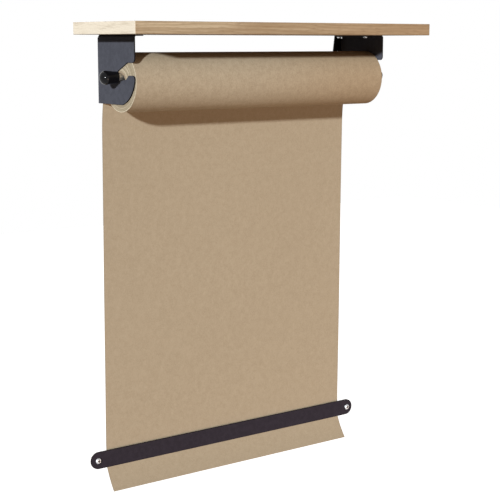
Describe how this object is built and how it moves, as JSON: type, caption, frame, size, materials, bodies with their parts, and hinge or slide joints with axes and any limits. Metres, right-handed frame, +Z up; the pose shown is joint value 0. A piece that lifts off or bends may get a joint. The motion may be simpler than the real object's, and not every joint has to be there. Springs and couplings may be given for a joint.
{
  "type": "wall-mounted paper roll dispenser",
  "caption": "Wall-mounted wrapping paper dispenser: a roll on a lift-out rod in hooked brackets under an oak shelf, with a flat bar below to tear the sheet.",
  "frame": {"origin": "centre of the four wall holes of the brackets, on the wall's surface", "axes": "+X right along the wall, +Y into the wall, +Z up"},
  "size_m": [0.588, 0.199, 0.7597],
  "materials": {
    "shelf_oak": "oiled oak, fine straight grain along the shelf",
    "bracket_coat": "fine-textured blue-black powder coat",
    "bar_coat": "charcoal powder coat",
    "rod_steel": "bright turned steel",
    "knob_black": "polished black plastic",
    "insert_brass": "turned brass",
    "core_card": "wound grey-brown board",
    "kraft_paper": "brown wrapping paper with fine fibres",
    "screw_steel": "bright nickel plate",
    "spacer_zinc": "zinc plate"
  },
  "bodies": {
    "root": {"shelf_board": "shelf_oak", "left_bracket": "bracket_coat", "right_bracket": "bracket_coat", "left_front_shelf_screw": "screw_steel", "left_back_shelf_screw": "screw_steel", "right_front_shelf_screw": "screw_steel", "right_back_shelf_screw": "screw_steel", "cutter_bar": "bar_coat", "left_bar_spacer": "spacer_zinc", "right_bar_spacer": "spacer_zinc", "left_bar_screw": "screw_steel", "right_bar_screw": "screw_steel"},
    "rod": {"roller_rod": "rod_steel", "left_knob": "knob_black", "right_knob": "knob_black", "left_knob_insert": "insert_brass", "right_knob_insert": "insert_brass"},
    "roll": {"core_tube": "core_card", "paper_roll": "kraft_paper"},
    "sheet": {"hanging_paper": "kraft_paper"}
  },
  "joints": [
    {"name": "rod_lift", "type": "slide", "parent": "root", "child": "rod", "axis": [0, -0.9409, 0.3387], "range_m": [0, 0.06]},
    {"name": "paper_feed", "type": "slide", "parent": "root", "child": "sheet", "axis": [0, 0.01, -1], "range_m": [0, 0.06]},
    {"name": "roll_spin", "type": "hinge", "parent": "rod", "child": "roll", "pos_m": [0, -0.0665, -0.015], "axis": [-1, 0, 0], "continuous": true}
  ],
  "couplings": [
    {"joint": "roll_spin", "follows": "paper_feed", "rad_per_m": 21.739}
  ]
}
